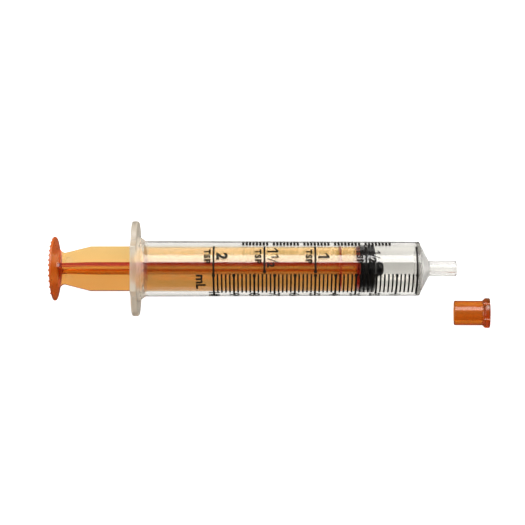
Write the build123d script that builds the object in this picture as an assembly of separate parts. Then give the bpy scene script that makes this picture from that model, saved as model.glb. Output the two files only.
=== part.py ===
from build123d import *
import os
from math import atan2, degrees, sqrt

# 10 ml oral dosing syringe with its push-on tip cap lying beside it.
# Millimetres, +Z up. X runs along the syringe's axis towards the dosing tip.
# The origin is on the axis, where the tip leaves the barrel's nose cone.

# Barrel tube, a little thinner towards the tip
BORE_R = 7.25
BARREL_BACK_R = 8.42
BARREL_FRONT_R = 8.18
BARREL_MOUTH_X = -89.3
SHOULDER_X = -2.85
SHOULDER_ROUND = 0.4
END_WALL = 1.35

# Nose cone and dosing tip
CONE_BASE_R = 7.65
TIP_R = 2.35
TIP_LENGTH = 8.45
TIP_ROUND = 0.5
TIP_BORE_R = 1.05
TIP_MOUTH_CHAMFER = 0.25

# Finger flange: flat middle that the syringe lies on, and two narrower wings
FLANGE_THICKNESS = 1.85
FLANGE_FLAT_Z = 9.75
FLANGE_FLAT_Y = 6.7
WING_TIP_Y = 14.3
WING_Z = 7.4
WING_CORNER = 6.5
MIDDLE_TIP_Y = 13.8
FLANGE_EDGE_ROUND = 0.4
COLLAR_R = 10.2
COLLAR_LENGTH = 2.1

# Retaining bead inside the barrel's mouth, which keeps the stopper in
LEAD_IN_R = 7.75
LEAD_IN_LENGTH = 0.9
BEAD_X = -86.6
BEAD_HEIGHT = 0.22
BEAD_LENGTH = 2.0

# Plunger rod: a cross of two ribs, turned a little about the axis
ROD_TURN_DEG = 11.4
RIB_HALF_WIDTH = 6.77
RIB_THICKNESS = 1.25
RIB_NECK_HALF_WIDTH = 4.68
RIB_NECK_X = -110.2
RIB_TAPER_END_X = -102.0
RIB_FLARE_HALF_WIDTH = 6.2
RIB_ROOT_FILLET = 0.35
UPRIGHT_NECK_HALF_WIDTH = 5.5
EJECTOR_MARK_R = 1.0
EJECTOR_MARK_DEPTH = 0.12
EJECTOR_MARK_Y = 2.55
EJECTOR_MARK_X = (-108.6, -77.0, -58.3)

# Thumb disc with straight grip ridges
DISC_R = 9.65
DISC_FACE_X = -113.1
DISC_RIM_X = -112.5
DISC_BACK_X = -111.45
DISC_BACK_R = 5.6
RIDGE_PITCH = 1.5
RIDGE_HEIGHT = 0.45
RIDGE_WIDTH = 0.95
RIDGE_ROUND = 0.18

# Front of the rod: web, end disc and the knob that snaps into the stopper
WEB_X = -26.9
WEB_THICKNESS = 0.65
END_DISC_THICKNESS = 1.2
END_DISC_R = 6.85
KNOB_NECK_R = 2.2
KNOB_R = 3.3
KNOB_LENGTH = 2.2
KNOB_NOSE_ROUND = 0.9

# Rubber stopper
STOPPER_REAR_X = -21.05
STOPPER_RING_R = 7.20
STOPPER_GROOVE_R = 6.55
REAR_RING_LENGTH = 1.7
GROOVE_LENGTH = 0.75
FRONT_RING_LENGTH = 1.8
SHOULDER_R = 6.2
SHOULDER_LENGTH = 0.35
STOPPER_NOSE_R = 2.24
STOPPER_NOSE_BASE_R = 3.0
STOPPER_NOSE_BASE_X = -16.0
STOPPER_FRONT_X = -13.65
SNAP_LIP = 1.4

# Tip cap: it lies on the rim of its mouth and on its collar, so it leans
CAP_R = 3.75
CAP_RIB_R = 4.55
CAP_FLUTE_ROOT_R = 3.95
CAP_LENGTH = 10.8
CAP_COLLAR_LENGTH = 1.5
CAP_RAMP_LENGTH = 0.7
CAP_EDGE_ROUND = 0.3
CAP_SOCKET_R = 2.40
CAP_SOCKET_DEPTH = 9.0
CAP_LEAD_IN = 0.35
CAP_RIBS = 6
CAP_FLUTE_WIDTH = 1.9
CAP_FLUTE_DEG = 44.0
CAP_MOUTH_X = 8.42
CAP_Y = -13.55

# Running clearance between the rod's knob and the stopper's snap socket
SNAP_GAP = 0.05

# The surface that the syringe lies on touches the flange's flat side and the barrel's
# thinner front, so it rises a little towards the tip. The cap lies on the same surface.
HEEL_X = BARREL_MOUTH_X + FLANGE_THICKNESS - FLANGE_EDGE_ROUND
TOE_X = SHOULDER_X - SHOULDER_ROUND
SURFACE_DEG = degrees(atan2(FLANGE_FLAT_Z - BARREL_FRONT_R, TOE_X - HEEL_X))
SURFACE_GAP = 0.03

CONE_LENGTH = -SHOULDER_X
CAP_LEAN_DEG = degrees(atan2(CAP_RIB_R - CAP_R, CAP_LENGTH - CAP_COLLAR_LENGTH))
DISC_RIDGES = int(2 * DISC_R / RIDGE_PITCH)


def turned(corners):
    """Solid of revolution about X; each corner is (x, radius, rounding)."""
    outline = FilletPolyline(
        *[(x, r) for x, r, _ in corners],
        radius=[rounding for _, _, rounding in corners],
        close=True,
    )
    return revolve(make_face(outline), axis=Axis.X)


def flange_outline():
    """Finger flange seen along X: rounded wings, and a flat-sided middle block."""
    wings = RectangleRounded(2 * WING_TIP_Y, 2 * WING_Z, WING_CORNER)
    corners = [
        (FLANGE_FLAT_Y, FLANGE_FLAT_Z, 0.8),
        (MIDDLE_TIP_Y, 0, 0),
        (FLANGE_FLAT_Y, -FLANGE_FLAT_Z, 0.8),
        (-FLANGE_FLAT_Y, -FLANGE_FLAT_Z, 0.8),
        (-MIDDLE_TIP_Y, 0, 0),
        (-FLANGE_FLAT_Y, FLANGE_FLAT_Z, 0.8),
    ]
    middle = make_face(FilletPolyline(
        *[(y, z) for y, z, _ in corners],
        radius=[rounding for _, _, rounding in corners],
        close=True,
    ))
    return Plane.YZ.offset(BARREL_MOUTH_X) * (wings + middle)


def flange():
    """Finger flange plate with rounded edges, and the collar that braces it."""
    plate = extrude(flange_outline(), FLANGE_THICKNESS)
    faces = plate.faces().filter_by(Axis.X)
    plate = fillet(faces.edges(), FLANGE_EDGE_ROUND)
    face_x = BARREL_MOUTH_X + FLANGE_THICKNESS
    collar = turned([
        (face_x - FLANGE_EDGE_ROUND, 0, 0),
        (face_x - FLANGE_EDGE_ROUND, COLLAR_R, 0),
        (face_x + COLLAR_LENGTH, BARREL_BACK_R - 0.1, 0),
        (face_x + COLLAR_LENGTH, 0, 0),
    ])
    reach = extrude(flange_outline(), FLANGE_THICKNESS + COLLAR_LENGTH)
    return plate + (collar & reach)


def barrel_bore():
    """Everything hollow in the barrel: lead-in, bore, bead, end cone, tip passage."""
    slope = (CONE_BASE_R - TIP_R) / CONE_LENGTH
    bore_end_x = SHOULDER_X - END_WALL + (CONE_BASE_R - BORE_R) / slope
    passage_x = -END_WALL + (TIP_R - TIP_BORE_R) / slope
    bead_start = BEAD_X - BEAD_LENGTH / 2
    bead_end = BEAD_X + BEAD_LENGTH / 2
    lead_in_x = BARREL_MOUTH_X + LEAD_IN_LENGTH
    return turned([
        (BARREL_MOUTH_X - 1, 0, 0),
        (BARREL_MOUTH_X - 1, LEAD_IN_R + 0.55, 0),
        (lead_in_x, BORE_R, 0),
        (bead_start, BORE_R, 0),
        (BEAD_X, BORE_R - BEAD_HEIGHT, 1.5),
        (bead_end, BORE_R, 0),
        (bore_end_x, BORE_R, 0.4),
        (passage_x, TIP_BORE_R, 0.3),
        (TIP_LENGTH - TIP_MOUTH_CHAMFER, TIP_BORE_R, 0),
        (TIP_LENGTH + 1, TIP_BORE_R + TIP_MOUTH_CHAMFER + 1, 0),
        (TIP_LENGTH + 1, 0, 0),
    ])


def make_barrel():
    """Clear barrel: tube, nose cone, dosing tip and finger flange in one moulding."""
    shell = turned([
        (BARREL_MOUTH_X + FLANGE_EDGE_ROUND, 0, 0),
        (BARREL_MOUTH_X + FLANGE_EDGE_ROUND, BARREL_BACK_R, 0),
        (SHOULDER_X, BARREL_FRONT_R, SHOULDER_ROUND),
        (SHOULDER_X, CONE_BASE_R, 0),
        (0, TIP_R, 0.35),
        (TIP_LENGTH, TIP_R, TIP_ROUND),
        (TIP_LENGTH, 0, 0),
    ])
    return shell + flange() - barrel_bore()


def thumb_disc():
    """Round thumb disc, sloping underside, straight ridges on the outer face."""
    plate = turned([
        (DISC_FACE_X, 0, 0),
        (DISC_FACE_X, DISC_R, 0.25),
        (DISC_RIM_X, DISC_R, 0.25),
        (DISC_BACK_X, DISC_BACK_R, 0.4),
        (DISC_BACK_X, 0, 0),
    ])
    ridges = []
    for index in range(DISC_RIDGES):
        y = (index - (DISC_RIDGES - 1) / 2) * RIDGE_PITCH
        half_length = sqrt((DISC_R - 0.1) ** 2 - (abs(y) + RIDGE_WIDTH / 2) ** 2)
        section = FilletPolyline(
            (DISC_FACE_X + 0.1, y - RIDGE_WIDTH / 2),
            (DISC_FACE_X - RIDGE_HEIGHT, y),
            (DISC_FACE_X + 0.1, y + RIDGE_WIDTH / 2),
            radius=[0, RIDGE_ROUND, 0],
            close=True,
        )
        ridges.append(extrude(make_face(section), half_length, both=True))
    return plate + ridges


def rib(neck_half_width, flare_half_width):
    """One flat rib in the XY plane, from the thumb disc to the end disc."""
    half = [
        (DISC_BACK_X - 0.3, flare_half_width, 0),
        (RIB_NECK_X, neck_half_width, 1.1),
        (RIB_TAPER_END_X, RIB_HALF_WIDTH, 1.5),
        (STOPPER_REAR_X - END_DISC_THICKNESS, RIB_HALF_WIDTH, 0),
    ]
    other_half = [(x, -y, rounding) for x, y, rounding in reversed(half)]
    corners = half + other_half
    outline = FilletPolyline(
        *[(x, y) for x, y, _ in corners],
        radius=[rounding for _, _, rounding in corners],
        close=True,
    )
    return extrude(make_face(outline), RIB_THICKNESS / 2, both=True)


def rib_root_fillets():
    """Small rounding where the two ribs meet, as one square bar on its corner."""
    half = RIB_THICKNESS / 2 + RIB_ROOT_FILLET
    length = STOPPER_REAR_X - END_DISC_THICKNESS - DISC_BACK_X
    bar = Plane.YZ.offset(DISC_BACK_X) * RectangleRounded(2 * half, 2 * half, RIB_ROOT_FILLET)
    return extrude(bar, length)


def ejector_marks():
    """Shallow round ejector-pin marks on both sides of the flat rib."""
    marks = []
    depth_z = RIB_THICKNESS / 2 - EJECTOR_MARK_DEPTH
    for x in EJECTOR_MARK_X:
        for y in (-EJECTOR_MARK_Y, EJECTOR_MARK_Y):
            for side in (-1, 1):
                middle = side * (depth_z + 0.5)
                marks.append(Pos(x, y, middle) * Cylinder(EJECTOR_MARK_R, 1))
    return marks


def knob():
    """Mushroom knob at the front of the rod, held in the stopper's snap socket."""
    back_x = STOPPER_REAR_X + SNAP_LIP + SNAP_GAP
    return turned([
        (STOPPER_REAR_X - END_DISC_THICKNESS / 2, 0, 0),
        (STOPPER_REAR_X - END_DISC_THICKNESS / 2, KNOB_NECK_R, 0),
        (back_x, KNOB_NECK_R, 0),
        (back_x, KNOB_R, 0.2),
        (back_x + KNOB_LENGTH, KNOB_R, KNOB_NOSE_ROUND),
        (back_x + KNOB_LENGTH, 0, 0),
    ])


def make_plunger_rod():
    """Amber plunger rod with its thumb disc, ribs, web, end disc and knob."""
    flat_rib = rib(RIB_NECK_HALF_WIDTH, RIB_FLARE_HALF_WIDTH) - ejector_marks()
    upright_rib = Rot(90, 0, 0) * rib(UPRIGHT_NECK_HALF_WIDTH, RIB_FLARE_HALF_WIDTH)
    end_disc = turned([
        (STOPPER_REAR_X - END_DISC_THICKNESS, 0, 0),
        (STOPPER_REAR_X - END_DISC_THICKNESS, END_DISC_R, 0.2),
        (STOPPER_REAR_X - SNAP_GAP, END_DISC_R, 0.2),
        (STOPPER_REAR_X - SNAP_GAP, 0, 0),
    ])
    web = extrude(Plane.YZ.offset(WEB_X) * Circle(RIB_HALF_WIDTH), WEB_THICKNESS / 2, both=True)
    rod = thumb_disc() + flat_rib + upright_rib + rib_root_fillets()
    rod = rod + web + end_disc + knob()
    return Rot(-ROD_TURN_DEG, 0, 0) * rod


def make_stopper():
    """Black rubber stopper: two sealing rings, a nose, and a socket for the knob."""
    groove_x = STOPPER_REAR_X + REAR_RING_LENGTH
    front_ring_x = groove_x + GROOVE_LENGTH
    shoulder_x = front_ring_x + FRONT_RING_LENGTH
    body = turned([
        (STOPPER_REAR_X, 0, 0),
        (STOPPER_REAR_X, STOPPER_RING_R, 0.35),
        (groove_x, STOPPER_RING_R, 0.3),
        (groove_x + 0.1, STOPPER_GROOVE_R, 0.15),
        (front_ring_x - 0.1, STOPPER_GROOVE_R, 0.15),
        (front_ring_x, STOPPER_RING_R, 0.3),
        (shoulder_x, STOPPER_RING_R, 0.3),
        (shoulder_x + SHOULDER_LENGTH, SHOULDER_R, 0.3),
        (STOPPER_NOSE_BASE_X, STOPPER_NOSE_BASE_R, 0.4),
        (STOPPER_NOSE_BASE_X + 0.4, STOPPER_NOSE_R, 0.3),
        (STOPPER_FRONT_X, STOPPER_NOSE_R, 1.3),
        (STOPPER_FRONT_X, 0, 0),
    ])
    cavity_x = STOPPER_REAR_X + SNAP_LIP
    cavity_length = KNOB_LENGTH + 3 * SNAP_GAP
    socket = turned([
        (STOPPER_REAR_X - 1, 0, 0),
        (STOPPER_REAR_X - 1, KNOB_NECK_R + SNAP_GAP, 0),
        (cavity_x, KNOB_NECK_R + SNAP_GAP, 0),
        (cavity_x, KNOB_R + SNAP_GAP, 0.15),
        (cavity_x + cavity_length, KNOB_R + SNAP_GAP, KNOB_NOSE_ROUND - 0.05),
        (cavity_x + cavity_length, 0, 0),
    ])
    return body - socket


def make_tip_cap():
    """Amber push-on cap: smooth sleeve with a fluted grip collar at its closed end."""
    collar_x = CAP_LENGTH - CAP_COLLAR_LENGTH
    cap = turned([
        (0, 0, 0),
        (0, CAP_R, CAP_EDGE_ROUND),
        (collar_x - CAP_RAMP_LENGTH, CAP_R, 0.5),
        (collar_x, CAP_RIB_R, 0.5),
        (CAP_LENGTH, CAP_RIB_R, CAP_EDGE_ROUND),
        (CAP_LENGTH, 0, 0),
    ])
    for index in range(CAP_RIBS):
        angle = CAP_FLUTE_DEG + 360 / CAP_RIBS * index
        flute_r = CAP_FLUTE_WIDTH / 2
        centre = Pos(collar_x - CAP_RAMP_LENGTH - 0.1, 0, CAP_FLUTE_ROOT_R + flute_r)
        flute = centre * Rot(0, 90, 0) * Cylinder(
            flute_r, 2 * CAP_LENGTH, align=(Align.CENTER, Align.CENTER, Align.MIN)
        )
        cap -= Rot(-angle, 0, 0) * flute
    socket = turned([
        (-1, 0, 0),
        (-1, CAP_SOCKET_R + CAP_LEAD_IN + 1, 0),
        (CAP_LEAD_IN, CAP_SOCKET_R, 0),
        (CAP_SOCKET_DEPTH, CAP_SOCKET_R, 0.3),
        (CAP_SOCKET_DEPTH, 0, 0),
    ])
    leaning = Rot(0, -CAP_LEAN_DEG, 0) * (cap - socket)
    lift = SURFACE_GAP - leaning.bounding_box().min.Z
    surface = Pos(HEEL_X, 0, -FLANGE_FLAT_Z) * Rot(0, -SURFACE_DEG, 0)
    return surface * Pos(CAP_MOUTH_X - HEEL_X, CAP_Y, lift) * leaning


parts = {
    "barrel": make_barrel(),
    "plunger_rod": make_plunger_rod(),
    "stopper": make_stopper(),
    "tip_cap": make_tip_cap(),
}

os.makedirs("parts", exist_ok=True)
for name, shape in parts.items():
    export_step(shape, os.path.join("parts", name + ".step"))
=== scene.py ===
import math
import bmesh
import bpy
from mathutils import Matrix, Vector


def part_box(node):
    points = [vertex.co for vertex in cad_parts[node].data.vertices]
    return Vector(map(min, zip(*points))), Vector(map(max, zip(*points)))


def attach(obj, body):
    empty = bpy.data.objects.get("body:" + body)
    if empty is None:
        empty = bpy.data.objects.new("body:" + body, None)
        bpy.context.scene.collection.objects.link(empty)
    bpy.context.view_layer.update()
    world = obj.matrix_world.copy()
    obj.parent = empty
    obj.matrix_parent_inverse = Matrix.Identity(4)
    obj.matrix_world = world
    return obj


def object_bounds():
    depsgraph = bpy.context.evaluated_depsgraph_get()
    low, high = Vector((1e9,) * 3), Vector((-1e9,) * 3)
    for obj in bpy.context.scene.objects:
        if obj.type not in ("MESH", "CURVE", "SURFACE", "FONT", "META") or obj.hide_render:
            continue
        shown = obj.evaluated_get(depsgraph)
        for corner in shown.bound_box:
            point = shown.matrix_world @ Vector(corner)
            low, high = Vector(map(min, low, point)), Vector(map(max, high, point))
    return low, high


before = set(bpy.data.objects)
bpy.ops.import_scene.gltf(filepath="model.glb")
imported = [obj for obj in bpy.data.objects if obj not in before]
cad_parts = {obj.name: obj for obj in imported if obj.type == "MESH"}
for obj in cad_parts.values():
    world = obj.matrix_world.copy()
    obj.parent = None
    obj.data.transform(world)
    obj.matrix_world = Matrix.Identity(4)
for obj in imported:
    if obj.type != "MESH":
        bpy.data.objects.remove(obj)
CAD_LOW, CAD_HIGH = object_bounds()
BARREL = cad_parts["barrel"]


def mm(value):
    return value / 1000


# ---- printed scale: sizes, and places along the barrel -----------------------
ZERO_X = mm(-4.3)
ML_STEP = mm(6.035)
CAPACITY = 10
TICKS_PER_ML = 5
ML_PER_HALF_TSP = 2.5
HALF_TSPS = 4
TICK_WIDTH = mm(0.50)
LINE_WIDTH = mm(0.60)
DOT_R = mm(0.52)
DOT_SIDES = 20
FIGURE_HEIGHT = mm(3.4)
SMALL_FIGURE_HEIGHT = mm(2.3)
ML_LABEL_HEIGHT = mm(2.9)
TSP_HEIGHT = mm(2.05)
# How far towards the tip, or back from it, a mark stands from its line
TSP_FIGURE_RISE = mm(2.5)
TSP_DROP = mm(1.9)
ML_LABEL_DROP = mm(3.8)
# Letters drawn bolder by an outset, and set wider, both in parts of the font's size
PLAIN_WEIGHT = 0.035
TSP_FIGURE_WEIGHT = 0.05
TSP_WEIGHT = 0.06
TSP_SPACING = 1.25
GLYPH_CURVE_STEPS = 5
# The fraction's small figures and its stroke
FRACTION_RISE = mm(0.6)
SLASH_WIDTH = mm(0.3)
SLASH_HALF_HEIGHT = mm(1.7)
SLASH_HALF_LEAN = mm(0.6)
# The parts of a one, in heights of the figure
ONE_STEM_WIDTH = 0.19
ONE_FLAG_REACH = 0.32
ONE_FLAG_ROOT = 0.22
ONE_FLAG_END_TOP = 0.30
ONE_FLAG_END_BOTTOM = 0.42
# The row of short bars on the far side
BAND_START_X = mm(-55.9)
BAND_GROUPS = 5
BARS_PER_GROUP = 8
BAR_PITCH = mm(1.02)
BAR_WIDTH = mm(0.7)
BAND_GAP = mm(1.0)

# ---- printed scale: angles around the barrel ---------------------------------
# In degrees from its top, towards the near side
TICK_FROM = 11
TICK_TO = 59
LINE_TO = 71
ZERO_LINE_TO = 66
ML_DOT_AT = 14
ML_FIGURE_AT = 82
ML_LABEL_AT = 29
TSP_FROM = -53
TSP_TO = 6
TSP_FIGURE_AT = -27
BAND_FROM = -71
BAND_TO = -56
# How far the parts of 1 1/2, and the figures of 1/2, stand from their middle
WHOLE_OFFSET = -13
FRACTION_OFFSET = 10
FRACTION_REACH = 9
STRIP_STEP = 3

# ---- ink ---------------------------------------------------------------------
INK_GAP = mm(0.006)
INK_THICKNESS = mm(0.02)
WELD = mm(0.001)
CUT_STEP = mm(0.5)
# The barrel's radius is measured at the zero line and this far back, from well above it
TAPER_SPAN_ML = 12
PROBE_HEIGHT = mm(60)

# ---- materials: colours come in pairs, and the plastic wanders between them --
PLASTIC_IOR = 1.49
TUBE_COLORS = (0.88, 0.865, 0.825), (0.94, 0.93, 0.90)
NOSE_COLORS = (0.92, 0.91, 0.88), (0.96, 0.95, 0.93)
FLANGE_COLORS = (0.84, 0.76, 0.63), (0.91, 0.84, 0.72)
# The rod's far half keeps its own amber. Its near half gets a deeper copy of it, which is painted
# shade for the shadow the upright rib casts on that side.
ROD_FAR_COLORS = (1.0, 0.83, 0.76), (1.0, 0.88, 0.86)
ROD_PAINTED_SHADE_COLORS = (0.89, 0.55, 0.36), (0.93, 0.61, 0.44)
THUMB_DISC_COLORS = (0.78, 0.15, 0.003), (0.86, 0.21, 0.010)
CAP_COLORS = (0.76, 0.40, 0.05), (0.82, 0.47, 0.09)
RUBBER_COLORS = (0.003, 0.003, 0.0035), (0.010, 0.010, 0.012)
INK_COLORS = (0.003, 0.0025, 0.002), (0.012, 0.010, 0.008)
# Roughness wanders between two values as well
TUBE_ROUGH = 0.03, 0.06
ROD_ROUGH = 0.05, 0.12
CAP_ROUGH = 0.16, 0.24
RUBBER_ROUGH = 0.32, 0.5
INK_ROUGH = 0.28, 0.42
# Colour that light keeps on its way through, and how fast it is lost, per metre
BARREL_ABSORPTION = (0.80, 0.74, 0.62), 30
ROD_ABSORPTION = (0.96, 0.76, 0.0), 1100
CAP_ABSORPTION = (0.92, 0.64, 0.0), 900
ROD_TRANSMISSION = 0.98
THUMB_DISC_TRANSMISSION = 0.62
CAP_TRANSMISSION = 0.94
# What the flange, the nose and the tip add to the tube's haze and roughness
FLANGE_HAZE, NOSE_HAZE, TIP_HAZE = 0.15, 0.22, -0.13
FLANGE_ROUGH, NOSE_ROUGH, TIP_ROUGH = 0.28, 0.26, -0.14
THUMB_DISC_ROUGH = 0.22
# Along X or Y: where a part's look starts, and where it is complete
FLANGE_FRONT_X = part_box("barrel")[0].x + mm(1.85)
THUMB_DISC_FRONT_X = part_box("plunger_rod")[0].x + mm(2.2)
FLANGE_FADE = FLANGE_FRONT_X + mm(3.6), FLANGE_FRONT_X - mm(0.3)
NOSE_FADE = mm(-3.6), mm(-2.2)
TIP_FADE = mm(-0.6), mm(0.8)
THUMB_DISC_FADE = THUMB_DISC_FRONT_X + mm(0.8), THUMB_DISC_FRONT_X - mm(0.2)
# Across Y: where the painted shade on the rod's near half starts, and where it is complete
ROD_PAINTED_SHADE_FADE = mm(1), mm(-1)
# Part of a noise's range that the two ends of a pair are spread over
NOISE_LOW, NOISE_HIGH = 0.3, 0.7

# ---- stage -------------------------------------------------------------------
FLOOR_SIZE = 4
# The tube's front end is at least this far ahead of the flange
FRONT_END_AHEAD = mm(20)
# Glow that lights the syringe, from its far side to its near side
FLOOR_FAR_GLOW = 0.53
FLOOR_NEAR_GLOW = 0.80
FLOOR_GLOW_FADE = mm(6), mm(-9)
# Glow that the camera sees
FLOOR_SEEN_GLOW = 0.98
FLOOR_PALE = 0.34
FLOOR_MIRRORED_PALE = 0.06
FLOOR_GRAIN = 0.02
# Light boxes, in metres, and in watts for each square metre and steradian
KEY_RADIANCE = 6.5
KEY_SIZE = 1.3, 0.36
KEY_DISTANCE = 0.6
KEY_ANGLE = 43.5
END_BOX_SIZE = 0.7, 0.7
FILL_RADIANCE = 2.5
FILL_AT = -0.85, -0.1, 0.45
FRONT_RADIANCE = 2.0
FRONT_AT = 0.75, 0.1, 0.45
LIT_X = mm(-50)
# The studio's own light, at the horizon and from HORIZON_TOP upwards
HORIZON = 0.28
OVERHEAD = 0.03
HORIZON_TOP = 0.4

# ---- camera: straight above, as in the photograph ----------------------------
VIEW_HEIGHT = mm(371.5)
VIEW_SHIFT_X = mm(-3.18)
VIEW_SHIFT_Y = mm(3.745)
LENS = 84.3
SENSOR_WIDTH = 36
CLIP_START = 0.01
CLIP_END = 10


# ---- node trees --------------------------------------------------------------
class NodeTree:
    """The nodes of a material or a world, with the few kinds that are used here."""

    def __init__(self, owner, coordinates):
        owner.use_nodes = True
        self.nodes = owner.node_tree.nodes
        self.links = owner.node_tree.links
        self.coords = self.nodes.new("ShaderNodeTexCoord").outputs[coordinates]

    def feed(self, socket, value):
        """Link another node's output to a socket, or set a plain number on it."""
        if isinstance(value, bpy.types.NodeSocket):
            self.links.new(value, socket)
        else:
            socket.default_value = value

    def position(self, axis):
        node = self.nodes.new("ShaderNodeSeparateXYZ")
        self.links.new(self.coords, node.inputs[0])
        return node.outputs[axis]

    def light_path(self):
        return self.nodes.new("ShaderNodeLightPath").outputs

    def map_range(self, value, start, end, low, high, interpolation="LINEAR"):
        """A value from start to end turned into one from low to high, and held beyond both."""
        node = self.nodes.new("ShaderNodeMapRange")
        node.interpolation_type = interpolation
        self.feed(node.inputs["Value"], value)
        self.feed(node.inputs["From Min"], start)
        self.feed(node.inputs["From Max"], end)
        self.feed(node.inputs["To Min"], low)
        self.feed(node.inputs["To Max"], high)
        return node.outputs["Result"]

    def wander(self, noise, low, high):
        """A noise spread from low to high."""
        return self.map_range(noise, NOISE_LOW, NOISE_HIGH, low, high)

    def spread(self, share, low, high):
        """A share from 0 to 1 spread from low to high."""
        return self.map_range(share, 0, 1, low, high)

    def fade(self, value, start, end, low=0, high=1):
        """Low before start and high after end, with a smooth change between."""
        return self.map_range(value, start, end, low, high, "SMOOTHSTEP")

    def combine(self, operation, first, second):
        node = self.nodes.new("ShaderNodeMath")
        node.operation = operation
        self.links.new(first, node.inputs[0])
        self.links.new(second, node.inputs[1])
        return node.outputs[0]

    def total(self, *values):
        result = values[0]
        for value in values[1:]:
            result = self.combine("ADD", result, value)
        return result

    def blend(self, share, first, second):
        """One colour turning into another as share goes from 0 to 1."""
        node = self.nodes.new("ShaderNodeMix")
        node.data_type = "RGBA"
        self.links.new(share, node.inputs["Factor"])
        self.links.new(first, node.inputs[6])
        self.links.new(second, node.inputs[7])
        return node.outputs[2]

    def noise(self, size, detail=3, stretch=(1, 1, 1)):
        """Noise whose grain is about size metres, drawn out along an axis by stretch."""
        mapping = self.nodes.new("ShaderNodeMapping")
        mapping.inputs["Scale"].default_value = [1 / size / s for s in stretch]
        self.links.new(self.coords, mapping.inputs["Vector"])
        texture = self.nodes.new("ShaderNodeTexNoise")
        texture.inputs["Scale"].default_value = 1
        texture.inputs["Detail"].default_value = detail
        self.links.new(mapping.outputs[0], texture.inputs["Vector"])
        return texture.outputs["Fac"]

    def ramp(self, noise, first, second):
        """A noise as a colour that wanders between two."""
        node = self.nodes.new("ShaderNodeValToRGB")
        low, high = node.color_ramp.elements
        low.position = NOISE_LOW
        high.position = NOISE_HIGH
        low.color = (*first, 1)
        high.color = (*second, 1)
        self.links.new(noise, node.inputs["Fac"])
        return node.outputs["Color"]


class Material(NodeTree):
    """A material around its Principled shader, laid out in the object's own coordinates."""

    def __init__(self, name):
        self.mat = bpy.data.materials.new(name)
        super().__init__(self.mat, "Object")
        self.bsdf = self.nodes["Principled BSDF"]

    def set(self, **values):
        for name, value in values.items():
            self.bsdf.inputs[name.replace("_", " ")].default_value = value

    def drive(self, name, output):
        self.links.new(output, self.bsdf.inputs[name])

    def bump(self, height, strength, depth):
        node = self.nodes.new("ShaderNodeBump")
        node.inputs["Strength"].default_value = strength
        node.inputs["Distance"].default_value = depth
        self.links.new(height, node.inputs["Height"])
        self.links.new(node.outputs["Normal"], self.bsdf.inputs["Normal"])

    def absorb(self, color, density):
        node = self.nodes.new("ShaderNodeVolumeAbsorption")
        node.inputs["Color"].default_value = (*color, 1)
        node.inputs["Density"].default_value = density
        self.links.new(node.outputs[0], self.nodes["Material Output"].inputs["Volume"])


# ---- materials ---------------------------------------------------------------
def clear_plastic():
    """Natural polypropylene: clear in the thin tube, cloudy in the nose, milky in the flange."""
    m = Material("clear_barrel")
    m.set(IOR=PLASTIC_IOR)
    streaks = m.noise(size=mm(2.5), detail=4, stretch=(10, 1, 1))
    x = m.position("X")
    flange = m.fade(x, *FLANGE_FADE)
    nose = m.fade(x, *NOSE_FADE)
    tip = m.fade(x, *TIP_FADE)
    tube_color = m.ramp(streaks, *TUBE_COLORS)
    nose_color = m.ramp(streaks, *NOSE_COLORS)
    flange_color = m.ramp(streaks, *FLANGE_COLORS)
    m.drive("Base Color", m.blend(nose, m.blend(flange, tube_color, flange_color), nose_color))
    haze = m.total(
        m.spread(flange, 0, FLANGE_HAZE),
        m.spread(nose, 0, NOSE_HAZE),
        m.spread(tip, 0, TIP_HAZE),
    )
    m.drive("Transmission Weight", m.spread(haze, 1, 0))
    thick_rough = m.total(
        m.spread(flange, 0, FLANGE_ROUGH),
        m.spread(nose, 0, NOSE_ROUGH),
        m.spread(tip, 0, TIP_ROUGH),
    )
    m.drive("Roughness", m.total(m.wander(m.noise(size=mm(1.2)), *TUBE_ROUGH), thick_rough))
    m.bump(streaks, strength=0.02, depth=mm(0.003))
    m.absorb(*BARREL_ABSORPTION)
    return m.mat


def start_amber(name, colors, rough_range):
    """Amber moulding: coloured through and glossy, with faint marks where it flowed."""
    m = Material(name)
    m.set(IOR=PLASTIC_IOR)
    flow = m.noise(size=mm(3), detail=4, stretch=(6, 1, 1))
    tint = m.ramp(flow, *colors)
    rough = m.wander(m.noise(size=mm(0.9)), *rough_range)
    return m, flow, tint, rough


def finish_amber(m, flow, tint, rough, absorption):
    m.drive("Base Color", tint)
    m.drive("Roughness", rough)
    m.bump(flow, strength=0.03, depth=mm(0.004))
    m.absorb(*absorption)
    return m.mat


def amber_rod():
    """Deeper on its near half, as in the photograph, which is painted shade for the shadow its
    upright rib casts there; clouded in the thick thumb disc.
    """
    m, flow, tint, rough = start_amber("amber_rod", ROD_FAR_COLORS, ROD_ROUGH)
    # Painted shade: the near half is turned to a deeper amber by its place in Y
    painted_shade = m.fade(m.position("Y"), *ROD_PAINTED_SHADE_FADE)
    tint = m.blend(painted_shade, tint, m.ramp(flow, *ROD_PAINTED_SHADE_COLORS))
    disc = m.fade(m.position("X"), *THUMB_DISC_FADE)
    tint = m.blend(disc, tint, m.ramp(flow, *THUMB_DISC_COLORS))
    m.drive("Transmission Weight", m.spread(disc, ROD_TRANSMISSION, THUMB_DISC_TRANSMISSION))
    rough = m.total(rough, m.spread(disc, 0, THUMB_DISC_ROUGH))
    return finish_amber(m, flow, tint, rough, ROD_ABSORPTION)


def amber_cap():
    m, flow, tint, rough = start_amber("amber_cap", CAP_COLORS, CAP_ROUGH)
    m.set(Transmission_Weight=CAP_TRANSMISSION)
    return finish_amber(m, flow, tint, rough, CAP_ABSORPTION)


def rubber():
    """Moulded black rubber with a fine grain and a dull bloom."""
    m = Material("black_rubber")
    m.set(Specular_IOR_Level=0.25)
    grain = m.noise(size=mm(0.12), detail=2)
    bloom = m.noise(size=mm(1.8), detail=4)
    m.drive("Base Color", m.ramp(bloom, *RUBBER_COLORS))
    m.drive("Roughness", m.wander(bloom, *RUBBER_ROUGH))
    m.bump(grain, strength=0.2, depth=mm(0.02))
    return m.mat


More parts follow.
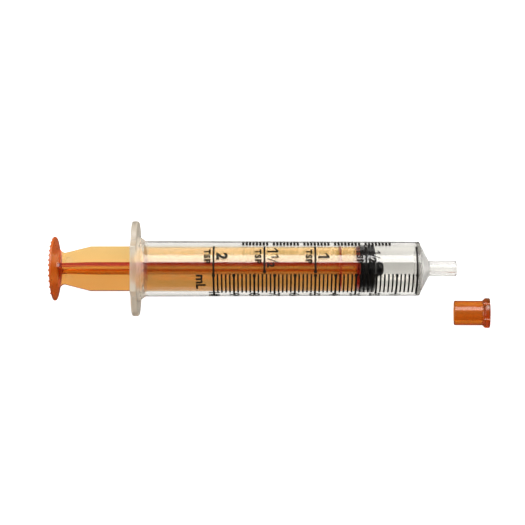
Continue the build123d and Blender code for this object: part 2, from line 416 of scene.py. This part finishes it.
def printed_ink():
    """Screen-printed black ink, a little uneven in cover and gloss."""
    m = Material("scale_ink")
    m.set(Specular_IOR_Level=0.15)
    cover = m.noise(size=mm(0.35))
    m.drive("Base Color", m.ramp(cover, *INK_COLORS))
    m.drive("Roughness", m.wander(cover, *INK_ROUGH))
    m.bump(cover, strength=0.15, depth=mm(0.01))
    return m.mat


def use(node, mat):
    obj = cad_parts[node]
    obj.data.materials.clear()
    obj.data.materials.append(mat)


# ---- printed marks: drawn flat, X along the barrel and Y around it -----------
def outer_radius(x):
    hit, point, _, _ = BARREL.ray_cast(Vector((x, 0, PROBE_HEIGHT)), Vector((0, 0, -1)))
    return point.z if hit else 0


# The tube tapers evenly between these two places
FRONT_X = ZERO_X
BACK_X = ZERO_X - TAPER_SPAN_ML * ML_STEP
FRONT_R = outer_radius(FRONT_X)
BACK_R = outer_radius(BACK_X)
MEAN_R = (FRONT_R + BACK_R) / 2


def ml_x(volume):
    return ZERO_X - volume * ML_STEP


def arc(angle):
    """Length around the barrel from its top, for an angle in degrees."""
    return math.radians(angle) * MEAN_R


def add_strip(bm, x, width, start, end):
    """A line around the barrel at x, from angle start to angle end."""
    steps = max(1, round(abs(end - start) / STRIP_STEP))
    rows = []
    for i in range(steps + 1):
        v = arc(start + (end - start) * i / steps)
        rows.append([bm.verts.new((x + side * width / 2, v, 0)) for side in (-1, 1)])
    for (a, b), (c, d) in zip(rows, rows[1:]):
        bm.faces.new((a, b, d, c))


def add_dot(bm, x, angle):
    v = arc(angle)
    ring = []
    for i in range(DOT_SIDES):
        turn = math.tau * i / DOT_SIDES
        ring.append(bm.verts.new((x + DOT_R * math.cos(turn), v + DOT_R * math.sin(turn), 0)))
    bm.faces.new(ring)


def add_text(bm, text, height, x, angle, weight=PLAIN_WEIGHT, spacing=1):
    """Text that reads around the barrel, its top towards the tip, centred on x and angle."""
    curve = bpy.data.curves.new("glyphs", "FONT")
    curve.body = text
    curve.size = 1
    curve.offset = weight
    curve.space_character = spacing
    curve.resolution_u = GLYPH_CURVE_STEPS
    holder = bpy.data.objects.new("glyphs", curve)
    bpy.context.scene.collection.objects.link(holder)
    bpy.context.view_layer.update()
    evaluated = holder.evaluated_get(bpy.context.evaluated_depsgraph_get())
    mesh = bpy.data.meshes.new_from_object(evaluated)
    glyphs = bmesh.new()
    glyphs.from_mesh(mesh)
    xs = [v.co.x for v in glyphs.verts]
    ys = [v.co.y for v in glyphs.verts]
    scale = height / (max(ys) - min(ys))
    for v in glyphs.verts:
        along = (v.co.x - (min(xs) + max(xs)) / 2) * scale
        up = (v.co.y - (min(ys) + max(ys)) / 2) * scale
        v.co = (x + up, arc(angle) + along, 0)
    glyphs.to_mesh(mesh)
    bm.from_mesh(mesh)
    glyphs.free()
    bpy.data.objects.remove(holder)
    bpy.data.curves.remove(curve)
    bpy.data.meshes.remove(mesh)


def add_polygon(bm, corners):
    bm.faces.new([bm.verts.new((x, v, 0)) for x, v in corners])


def add_one(bm, height, x, angle):
    """A one with a plain stem and a clear flag."""
    v = arc(angle)
    low = x - height / 2
    top = x + height / 2
    stem_side = v + ONE_STEM_WIDTH * height
    flag_end = v - ONE_FLAG_REACH * height
    add_polygon(bm, [(low, v), (top, v), (top, stem_side), (low, stem_side)])
    add_polygon(bm, [
        (top, v),
        (top - ONE_FLAG_END_TOP * height, flag_end),
        (top - ONE_FLAG_END_BOTTOM * height, flag_end),
        (top - ONE_FLAG_ROOT * height, v),
    ])


def add_two(bm, height, x, angle):
    add_text(bm, "2", height, x, angle, weight=TSP_FIGURE_WEIGHT)


def add_slash(bm, x, angle):
    """The fraction's stroke, leaning along the reading direction as it rises towards the tip."""
    v = arc(angle)
    corners = []
    for side, end in ((-1, -1), (1, -1), (1, 1), (-1, 1)):
        around = v + side * SLASH_WIDTH / 2 + end * SLASH_HALF_LEAN
        corners.append((x + end * SLASH_HALF_HEIGHT, around))
    add_polygon(bm, corners)


def add_half(bm, x, angle):
    add_one(bm, SMALL_FIGURE_HEIGHT, x + FRACTION_RISE, angle - FRACTION_REACH)
    add_slash(bm, x, angle)
    add_two(bm, SMALL_FIGURE_HEIGHT, x - FRACTION_RISE, angle + FRACTION_REACH)


def wrap(name, bm, ink):
    """Cut the flat marks fine, bend them round the barrel and give them the ink's thickness."""
    bmesh.ops.remove_doubles(bm, verts=bm.verts, dist=WELD)
    low = min(v.co.y for v in bm.verts)
    high = max(v.co.y for v in bm.verts)
    for i in range(math.ceil(low / CUT_STEP), math.ceil(high / CUT_STEP)):
        geometry = bm.verts[:] + bm.edges[:] + bm.faces[:]
        cut = (0, i * CUT_STEP, 0)
        bmesh.ops.bisect_plane(bm, geom=geometry, plane_co=cut, plane_no=(0, 1, 0))
    for v in bm.verts:
        share = (v.co.x - FRONT_X) / (BACK_X - FRONT_X)
        radius = FRONT_R + (BACK_R - FRONT_R) * share + INK_GAP
        turn = v.co.y / MEAN_R
        v.co = (v.co.x, -radius * math.sin(turn), radius * math.cos(turn))
    bmesh.ops.recalc_face_normals(bm, faces=bm.faces)
    for face in bm.faces:
        face.normal_update()
        centre = face.calc_center_median()
        if face.normal.dot(Vector((0, centre.y, centre.z))) < 0:
            face.normal_flip()
    mesh = bpy.data.meshes.new(name)
    bm.to_mesh(mesh)
    bm.free()
    obj = bpy.data.objects.new(name, mesh)
    bpy.context.scene.collection.objects.link(obj)
    solid = obj.modifiers.new("ink", "SOLIDIFY")
    solid.thickness = INK_THICKNESS
    solid.offset = 1
    mesh.materials.append(ink)
    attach(obj, "barrel")


def make_graduations(ink):
    """Ticks every 0.2 ml, longer lines with a dot every 1 ml, and the zero line."""
    lines = bmesh.new()
    for tick in range(1, CAPACITY * TICKS_PER_ML):
        if tick % TICKS_PER_ML:
            add_strip(lines, ml_x(tick / TICKS_PER_ML), TICK_WIDTH, TICK_FROM, TICK_TO)
    for volume in range(1, CAPACITY + 1):
        add_strip(lines, ml_x(volume), LINE_WIDTH, TICK_FROM, LINE_TO)
    add_strip(lines, ml_x(0), LINE_WIDTH, TSP_FROM, ZERO_LINE_TO)
    wrap("ml_graduations", lines, ink)
    dots = bmesh.new()
    for volume in range(CAPACITY + 1):
        add_dot(dots, ml_x(volume), ML_DOT_AT)
    wrap("ml_dots", dots, ink)


def make_tsp_lines(ink):
    """A line at each half teaspoon, ending in a dot; the last runs on into the 10 ml line."""
    lines = bmesh.new()
    dots = bmesh.new()
    for halves in range(1, HALF_TSPS + 1):
        volume = halves * ML_PER_HALF_TSP
        full = volume == CAPACITY
        add_strip(lines, ml_x(volume), LINE_WIDTH, TSP_FROM, TICK_FROM if full else TSP_TO)
        if not full:
            add_dot(dots, ml_x(volume), TSP_TO)
    wrap("tsp_lines", lines, ink)
    wrap("tsp_dots", dots, ink)


def make_ml_figures(ink):
    figures = bmesh.new()
    for volume in range(1, CAPACITY + 1):
        add_text(figures, str(volume), FIGURE_HEIGHT, ml_x(volume), ML_FIGURE_AT)
    wrap("ml_figures", figures, ink)


def make_tsp_figures(ink):
    """1/2, 1, 1 1/2 and 2, each with TSP on the other side of its line."""
    figures = bmesh.new()
    for halves in range(1, HALF_TSPS + 1):
        line_x = ml_x(halves * ML_PER_HALF_TSP)
        middle = line_x + TSP_FIGURE_RISE
        whole, half = divmod(halves, 2)
        if whole:
            add_whole = add_one if whole == 1 else add_two
            at = TSP_FIGURE_AT + (WHOLE_OFFSET if half else 0)
            add_whole(figures, FIGURE_HEIGHT, middle, at)
        if half:
            add_half(figures, middle, TSP_FIGURE_AT + (FRACTION_OFFSET if whole else 0))
        add_text(
            figures, "TSP", TSP_HEIGHT, line_x - TSP_DROP, TSP_FIGURE_AT,
            weight=TSP_WEIGHT, spacing=TSP_SPACING,
        )
    wrap("tsp_figures", figures, ink)


def make_ml_label(ink):
    label = bmesh.new()
    add_text(label, "mL", ML_LABEL_HEIGHT, ml_x(CAPACITY) - ML_LABEL_DROP, ML_LABEL_AT)
    wrap("ml_label", label, ink)


def make_index_band(ink):
    """A plain row of short bars along the far side."""
    bars = bmesh.new()
    for group in range(BAND_GROUPS):
        for bar in range(BARS_PER_GROUP):
            x = BAND_START_X + group * (BARS_PER_GROUP * BAR_PITCH + BAND_GAP) + bar * BAR_PITCH
            add_strip(bars, x, BAR_WIDTH, BAND_FROM, BAND_TO)
    wrap("index_band", bars, ink)


# ---- stage and light ---------------------------------------------------------
def resting_surface():
    """A point and the tilt of the table: it touches the flange's flat and the tube's front end."""
    vertices = [v.co for v in BARREL.data.vertices]
    heel = min(vertices, key=lambda co: (round(co.z, 6), -co.x))
    ahead = [co for co in vertices if co.x > heel.x + FRONT_END_AHEAD]
    return heel, -math.atan(min((co.z - heel.z) / (co.x - heel.x) for co in ahead))


def make_floor():
    """A back-lit white table. It looks white to the camera, but lights the plastic with less
    than that, more from the near side, and is dark where the plastic mirrors it."""
    point, tilt = resting_surface()
    bpy.ops.mesh.primitive_plane_add(size=FLOOR_SIZE, location=point, rotation=(0, tilt, 0))
    floor = bpy.context.object
    floor.name = "floor"
    m = Material("floor_white")
    m.set(Roughness=0.9, Specular_IOR_Level=0.1, Emission_Color=(1, 1, 1, 1))
    glow = m.fade(m.position("Y"), *FLOOR_GLOW_FADE)
    glow = m.spread(glow, FLOOR_FAR_GLOW, FLOOR_NEAR_GLOW)
    ray = m.light_path()
    mirrored = m.combine("MULTIPLY", ray["Is Reflection Ray"], ray["Is Glossy Ray"])
    dimmed = m.combine("MULTIPLY", glow, m.spread(mirrored, 1, 0))
    unseen = m.combine("MULTIPLY", dimmed, m.spread(ray["Is Camera Ray"], 1, 0))
    seen = m.spread(ray["Is Camera Ray"], 0, FLOOR_SEEN_GLOW)
    m.drive("Emission Strength", m.total(unseen, seen))
    grain = m.noise(size=mm(8))
    pale = m.ramp(grain, (FLOOR_PALE,) * 3, (FLOOR_PALE + FLOOR_GRAIN,) * 3)
    dark = m.ramp(grain, (FLOOR_MIRRORED_PALE,) * 3, (FLOOR_MIRRORED_PALE + FLOOR_GRAIN,) * 3)
    m.drive("Base Color", m.blend(mirrored, pale, dark))
    floor.data.materials.append(m.mat)


def soft_box(name, size, radiance, location):
    """A rectangle of light that faces the syringe."""
    data = bpy.data.lights.new(name, "AREA")
    data.shape = "RECTANGLE"
    data.size, data.size_y = size
    data.energy = radiance * math.pi * data.size * data.size_y
    light = bpy.data.objects.new(name, data)
    light.location = location
    aim = Vector((LIT_X, 0, 0)) - Vector(location)
    light.rotation_euler = aim.to_track_quat("-Z", "Y").to_euler()
    bpy.context.scene.collection.objects.link(light)


def make_lights():
    """A long soft box above the far side, and a dim one beyond each end."""
    angle = math.radians(KEY_ANGLE)
    far_side = (LIT_X, KEY_DISTANCE * math.sin(angle), KEY_DISTANCE * math.cos(angle))
    soft_box("key", KEY_SIZE, KEY_RADIANCE, far_side)
    soft_box("fill", END_BOX_SIZE, FILL_RADIANCE, FILL_AT)
    soft_box("front", END_BOX_SIZE, FRONT_RADIANCE, FRONT_AT)


def make_surround():
    """A dark studio, so that black stays black under the gloss, behind a plain white backdrop."""
    world = bpy.data.worlds.new("world")
    tree = NodeTree(world, "Generated")
    studio = tree.fade(tree.position("Z"), 0, HORIZON_TOP, HORIZON, OVERHEAD)
    strength = tree.map_range(tree.light_path()["Is Camera Ray"], 0, 1, studio, 1)
    background = tree.nodes["Background"]
    background.inputs["Color"].default_value = (1, 1, 1, 1)
    tree.links.new(strength, background.inputs["Strength"])
    bpy.context.scene.world = world


def make_camera():
    data = bpy.data.cameras.new("camera")
    data.lens = LENS
    data.sensor_width = SENSOR_WIDTH
    data.clip_start = CLIP_START
    data.clip_end = CLIP_END
    cam = bpy.data.objects.new("camera", data)
    bpy.context.scene.collection.objects.link(cam)
    centre = (CAD_LOW + CAD_HIGH) / 2
    cam.location = (centre.x + VIEW_SHIFT_X, centre.y + VIEW_SHIFT_Y, VIEW_HEIGHT)
    bpy.context.scene.camera = cam


scale_ink = printed_ink()
make_graduations(scale_ink)
make_tsp_lines(scale_ink)
make_ml_figures(scale_ink)
make_tsp_figures(scale_ink)
make_ml_label(scale_ink)
make_index_band(scale_ink)
use("barrel", clear_plastic())
use("plunger_rod", amber_rod())
use("stopper", rubber())
use("tip_cap", amber_cap())
make_floor()
make_lights()
make_surround()
make_camera()
bpy.context.scene.view_settings.view_transform = "Standard"
